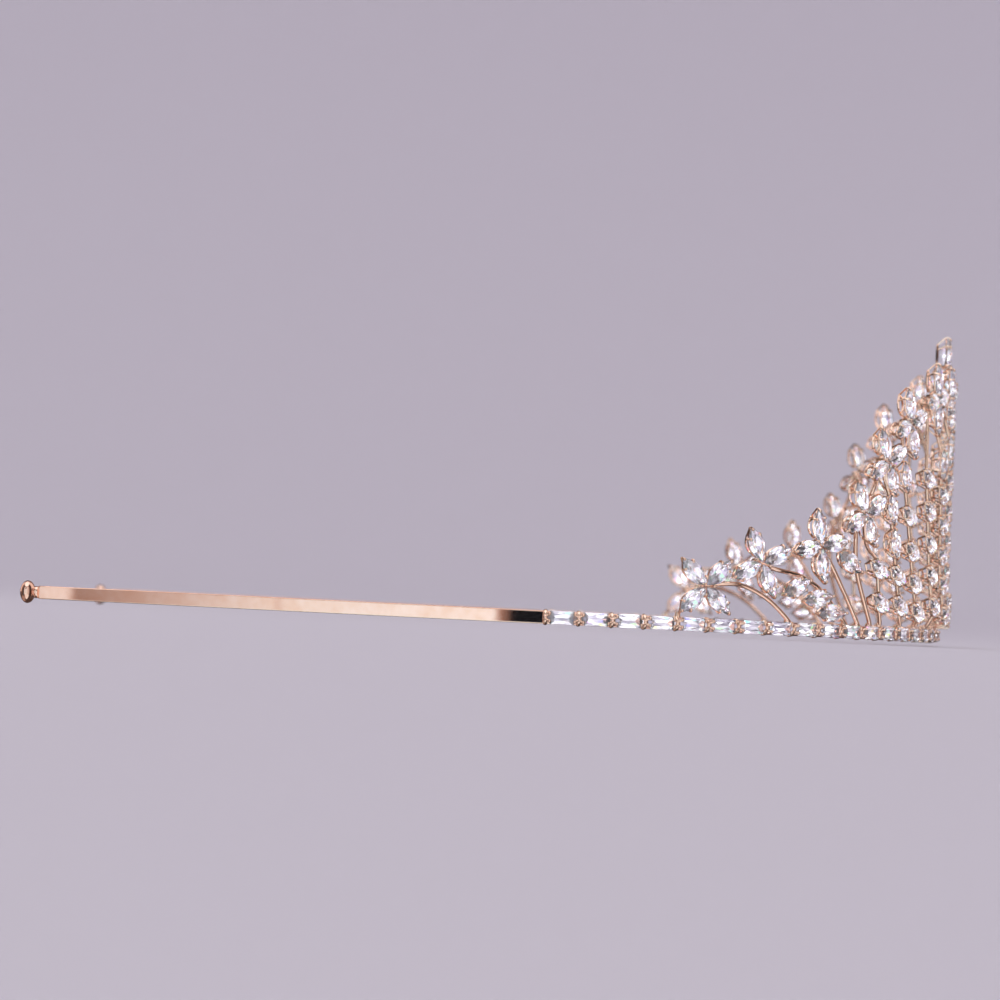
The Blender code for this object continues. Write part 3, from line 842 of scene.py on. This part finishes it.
def rose_gold():
    """Polished rose-gold plating: faint colour drift, hairline scratches, and a painted highlight of
    paler colour along sharp edges.
    """
    material, nodes, shader, place = new_material("rose_gold")
    link = material.node_tree.links
    drift = nodes.noise(place, 260.0, 2.0)
    tint = nodes.ramp(drift, ((0.30, (0.92, 0.55, 0.40)), (0.70, (0.98, 0.66, 0.53))))
    edge = nodes.node("ShaderNodeNewGeometry").outputs["Pointiness"]
    # painted highlight: sharp convex edges (high pointiness) get a paler, cream-pink base colour
    edge_highlight = nodes.ramp(edge, ((0.52, 0.0), (0.62, 1.0)))
    colour = nodes.mix(edge_highlight, tint, (1.0, 0.76, 0.60))
    link.new(colour, shader.inputs["Base Color"])
    shader.inputs["Metallic"].default_value = 1.0
    smears = nodes.noise(place, 900.0, 4.0)
    rough = nodes.ramp(smears, ((0.35, 0.01), (0.75, 0.04)))
    link.new(rough, shader.inputs["Roughness"])
    streaks = nodes.node("ShaderNodeMapping", {"Vector": place, "Scale": (900.0, 140.0, 5200.0)})
    hairlines = nodes.noise(streaks.outputs[0], 1.0, 2.0, 0.5)
    bump = nodes.node("ShaderNodeBump", {"Height": hairlines, "Strength": 0.02, "Distance": 0.00002})
    link.new(bump.outputs[0], shader.inputs["Normal"])
    return material


def crystal():
    """Cut cubic zirconia: clear, with a drift from white to lavender and faint polish marks."""
    material, nodes, shader, place = new_material("crystal")
    link = material.node_tree.links
    drift = nodes.noise(place, 420.0, 2.0)
    tint = nodes.ramp(drift, ((0.35, (1.0, 1.0, 1.0)), (0.65, (0.92, 0.90, 0.98))))
    link.new(tint, shader.inputs["Base Color"])
    smears = nodes.noise(place, 1500.0, 3.0)
    rough = nodes.ramp(smears, ((0.4, 0.0), (0.8, 0.05)))
    link.new(rough, shader.inputs["Roughness"])
    shader.inputs["IOR"].default_value = 1.9
    shader.inputs["Transmission Weight"].default_value = 0.94
    polish = nodes.noise(place, 2600.0, 2.0)
    bump = nodes.node("ShaderNodeBump", {"Height": polish, "Strength": 0.03, "Distance": 0.00002})
    link.new(bump.outputs[0], shader.inputs["Normal"])
    return material


def paper():
    """Matt pale paper for the floor and the backdrop."""
    material, nodes, shader, place = new_material("studio_paper")
    link = material.node_tree.links
    grain = nodes.noise(place, 600.0, 3.0)
    colour = nodes.mix(grain, tuple(0.985 * value for value in BACKDROP), BACKDROP)
    link.new(colour, shader.inputs["Base Color"])
    shader.inputs["Roughness"].default_value = 0.9
    shader.inputs["Specular IOR Level"].default_value = 0.1
    return material


# ---------------------------------------------------------------- studio

# A bright panel or a dark gap round the studio, in degrees. around is 0 towards the wearer's
# right and grows towards the back of the tiara; rise is above the horizon. The level changes
# evenly from one end of the panel to the other. A cool panel is bluish where it is bright.
Panel = namedtuple("Panel", "around_from around_to rise_from rise_to level level_to cool")
PANELS = (
    Panel(-180.0, 180.0, 52.0, 90.0, 1.0, 1.0, 0.6),
    Panel(24.0, 150.0, -70.0, -25.0, 0.4, 0.4, 0.4),
    Panel(-62.0, 24.0, -80.0, -25.0, 0.95, 0.95, 0.7),
    Panel(-62.0, -8.0, -25.0, 46.0, 0.55, 0.95, 0.7),
    Panel(-8.0, 2.3, -25.0, 25.0, 1.0, 1.05, 1.0),
    Panel(2.3, 12.0, -25.0, 25.0, 1.06, 0.92, 1.0),
    Panel(12.0, 20.95, -25.0, 25.0, 0.92, 0.36, 1.0),
    Panel(20.95, 48.0, -25.0, 44.0, 0.9, 0.8, 0.85),
    Panel(48.0, 72.0, -40.0, 60.0, 0.02, 0.02, 0.0),
    Panel(112.0, 150.0, 0.0, 46.0, 0.85, 0.85, 0.3),
    Panel(-150.0, -104.0, 0.0, 50.0, 0.85, 0.85, 0.3),
    Panel(-96.0, -74.0, -30.0, 60.0, 0.04, 0.04, 0.0),
    Panel(162.0, 176.0, -20.0, 40.0, 0.08, 0.08, 0.0),
    Panel(2.1, 2.5, -14.0, 14.0, 0.1, 0.4, 0.0),
    Panel(-1.5, 2.1, -14.0, 14.0, 0.0, 0.0, 0.0),
)
PANEL_EDGE = 0.15
DARK_LEVELS = (0.07, 0.22)          # between the panels, from below to above
WARM_CAST = (1.0, 0.69, 0.59)
COOL_CAST = (0.99, 1.19, 1.33)
FILL = (1.0, 0.99, 1.02)            # what matt surfaces see
SPARKLE = ((0.0, (0.28, 0.24, 0.34)), (0.05, (0.56, 0.50, 0.68)), (0.22, (0.86, 0.80, 0.96)),
           (0.48, (1.3, 1.26, 1.38)), (0.80, (3.8, 3.8, 3.9)))
SPARKLE_SCALE = 8.0
FIRE_FROM = 0.93                    # the few cells that flash in a colour


def panel_share(nodes, around, rise, panel):
    """How much a direction sees a panel, with slightly soft edges."""
    shares = []
    for value, low, high in ((around, panel.around_from, panel.around_to),
                             (rise, panel.rise_from, panel.rise_to)):
        for edge, side in ((low, 1.0), (high, -1.0)):
            soft = math.radians(PANEL_EDGE)
            start = math.radians(edge) - side * soft
            stop = math.radians(edge) + side * soft
            ramp = nodes.node("ShaderNodeMapRange", {0: value, 1: start, 2: stop, 3: 0.0, 4: 1.0})
            shares.append(ramp.outputs[0])
    result = shares[0]
    for share in shares[1:]:
        result = nodes.maths("MULTIPLY", result, share)
    return result


def studio_world():
    """Pale for the camera, panels and gaps for the metal, small lights for the stones."""
    world = bpy.data.worlds.new("studio")
    bpy.context.scene.world = world
    world.use_nodes = True
    nodes = Nodes(world.node_tree)
    place = nodes.node("ShaderNodeTexCoord").outputs["Generated"]
    split = nodes.node("ShaderNodeSeparateXYZ", {"Vector": place})
    x, y, z = split.outputs
    around = nodes.maths("ARCTAN2", y, nodes.maths("MULTIPLY", x, -1.0))
    rise = nodes.maths("ARCSINE", z)
    level = nodes.node("ShaderNodeMapRange", {
        0: z, 1: -0.6, 2: 0.6, 3: DARK_LEVELS[0], 4: DARK_LEVELS[1]}).outputs[0]
    cool = nodes.node("ShaderNodeValue").outputs[0]
    cool.default_value = 0.0
    for panel in PANELS:
        share = panel_share(nodes, around, rise, panel)
        own = nodes.node("ShaderNodeMapRange", {
            0: around, 1: math.radians(panel.around_from), 2: math.radians(panel.around_to),
            3: panel.level, 4: panel.level_to}).outputs[0]
        level = nodes.node("ShaderNodeMix", {0: share, 2: level, 3: own}).outputs[0]
        cool = nodes.node("ShaderNodeMix", {0: share, 2: cool, 3: panel.cool}).outputs[0]
    bright = nodes.node("ShaderNodeMapRange", {0: level, 1: 0.15, 2: 0.95, 3: 0.0, 4: 1.0})
    cool = nodes.maths("MULTIPLY", cool, bright.outputs[0])
    cast = nodes.mix(cool, WARM_CAST, COOL_CAST)
    soft = nodes.mix(1.0, level, cast, "MULTIPLY")

    cells = nodes.node("ShaderNodeTexVoronoi", {"Vector": place, "Scale": SPARKLE_SCALE})
    chance = nodes.node("ShaderNodeSeparateColor", {"Color": cells.outputs["Color"]})
    sparkle = nodes.ramp(chance.outputs[0], SPARKLE, "CONSTANT")
    hue = nodes.node("ShaderNodeCombineColor", {0: chance.outputs[2], 1: 0.6, 2: 2.0}, mode="HSV")
    fire = nodes.maths("GREATER_THAN", chance.outputs[1], FIRE_FROM)
    sparkle = nodes.mix(fire, sparkle, hue.outputs[0])

    path = nodes.node("ShaderNodeLightPath")
    seen = nodes.mix(path.outputs["Is Transmission Ray"], soft, sparkle)
    seen = nodes.mix(path.outputs["Is Diffuse Ray"], seen, FILL)
    seen = nodes.mix(path.outputs["Is Camera Ray"], seen, BACKDROP)
    background = world.node_tree.nodes["Background"]
    world.node_tree.links.new(seen, background.inputs["Color"])


def stage():
    """A round floor that curves up into a wall."""
    centre = Vector((0.0, FRONT_CENTRE.y, FLOOR_LEVEL))
    profile = [(0.0, 0.0), (0.2, 0.0), (0.6, 0.0), (STAGE_RADIUS, 0.0)]
    for step in range(1, 13):
        turn = math.radians(7.5 * step)
        profile.append((STAGE_RADIUS + STAGE_CURVE * math.sin(turn),
                        STAGE_CURVE * (1.0 - math.cos(turn))))
    profile.append((STAGE_RADIUS + STAGE_CURVE, STAGE_HEIGHT))
    points = [centre]
    faces = []
    count = 96
    for index, (radius, height) in enumerate(profile[1:]):
        for i in range(count):
            turn = 2.0 * math.pi * i / count
            points.append(centre + Vector((radius * math.cos(turn), radius * math.sin(turn), height)))
            j = (i + 1) % count
            if index == 0:
                faces.append((0, 1 + i, 1 + j))
            else:
                low, high = 1 + (index - 1) * count, 1 + index * count
                faces.append((low + i, high + i, high + j, low + j))
    mesh = bpy.data.meshes.new("studio_floor")
    mesh.from_pydata(points, [], faces)
    mesh.shade_smooth()
    mesh.materials.append(paper())
    floor = bpy.data.objects.new("studio_floor", mesh)
    bpy.context.scene.collection.objects.link(floor)
    floor.visible_glossy = False
    floor.visible_transmission = False


def softbox(name, place, size, power):
    """A square area light aimed at the middle of the tiara."""
    light = bpy.data.lights.new(name, "AREA")
    light.size = size
    light.energy = power
    lamp = bpy.data.objects.new(name, light)
    lamp.location = FRONT_CENTRE + Vector(place)
    lamp.rotation_euler = (VIEW_TARGET - lamp.location).to_track_quat("-Z", "Y").to_euler()
    lamp.visible_camera = False
    bpy.context.scene.collection.objects.link(lamp)


def camera():
    """The camera: almost square on to the wearer's right, and almost level."""
    yaw, rise, roll = (math.radians(value) for value in (VIEW_YAW, VIEW_RISE, VIEW_ROLL))
    back = Vector((-math.cos(yaw) * math.cos(rise), -math.sin(yaw) * math.cos(rise),
                   math.sin(rise)))
    level = Vector((math.sin(yaw), -math.cos(yaw), 0.0))
    up = back.cross(level)
    right = math.cos(roll) * level + math.sin(roll) * up
    data = bpy.data.cameras.new("camera")
    data.lens = LENS
    data.sensor_width = 36.0
    data.dof.use_dof = True
    focus = bpy.data.objects.new("focus_point", None)
    focus.location = VIEW_TARGET + FOCUS_AHEAD * back
    bpy.context.scene.collection.objects.link(focus)
    data.dof.focus_object = focus
    data.dof.aperture_fstop = F_STOP
    data.clip_start = 0.01
    data.clip_end = 20.0
    view = bpy.data.objects.new("camera", data)
    turn = Matrix((right, back.cross(right), back)).transposed()
    view.matrix_world = Matrix.Translation(VIEW_TARGET + VIEW_DISTANCE * back) @ turn.to_4x4()
    bpy.context.scene.collection.objects.link(view)
    bpy.context.scene.camera = view


def build():
    metal = rose_gold()
    stone = crystal()
    rail_piece(metal)
    row_pieces(stone)
    crest_pieces(metal, stone)
    arm_pieces(metal)
    studio_world()
    stage()
    softbox("overhead", (-0.4, 0.0, 2.6), 2.4, 7.0)
    camera()
    bpy.context.scene.view_settings.view_transform = "Standard"


build()
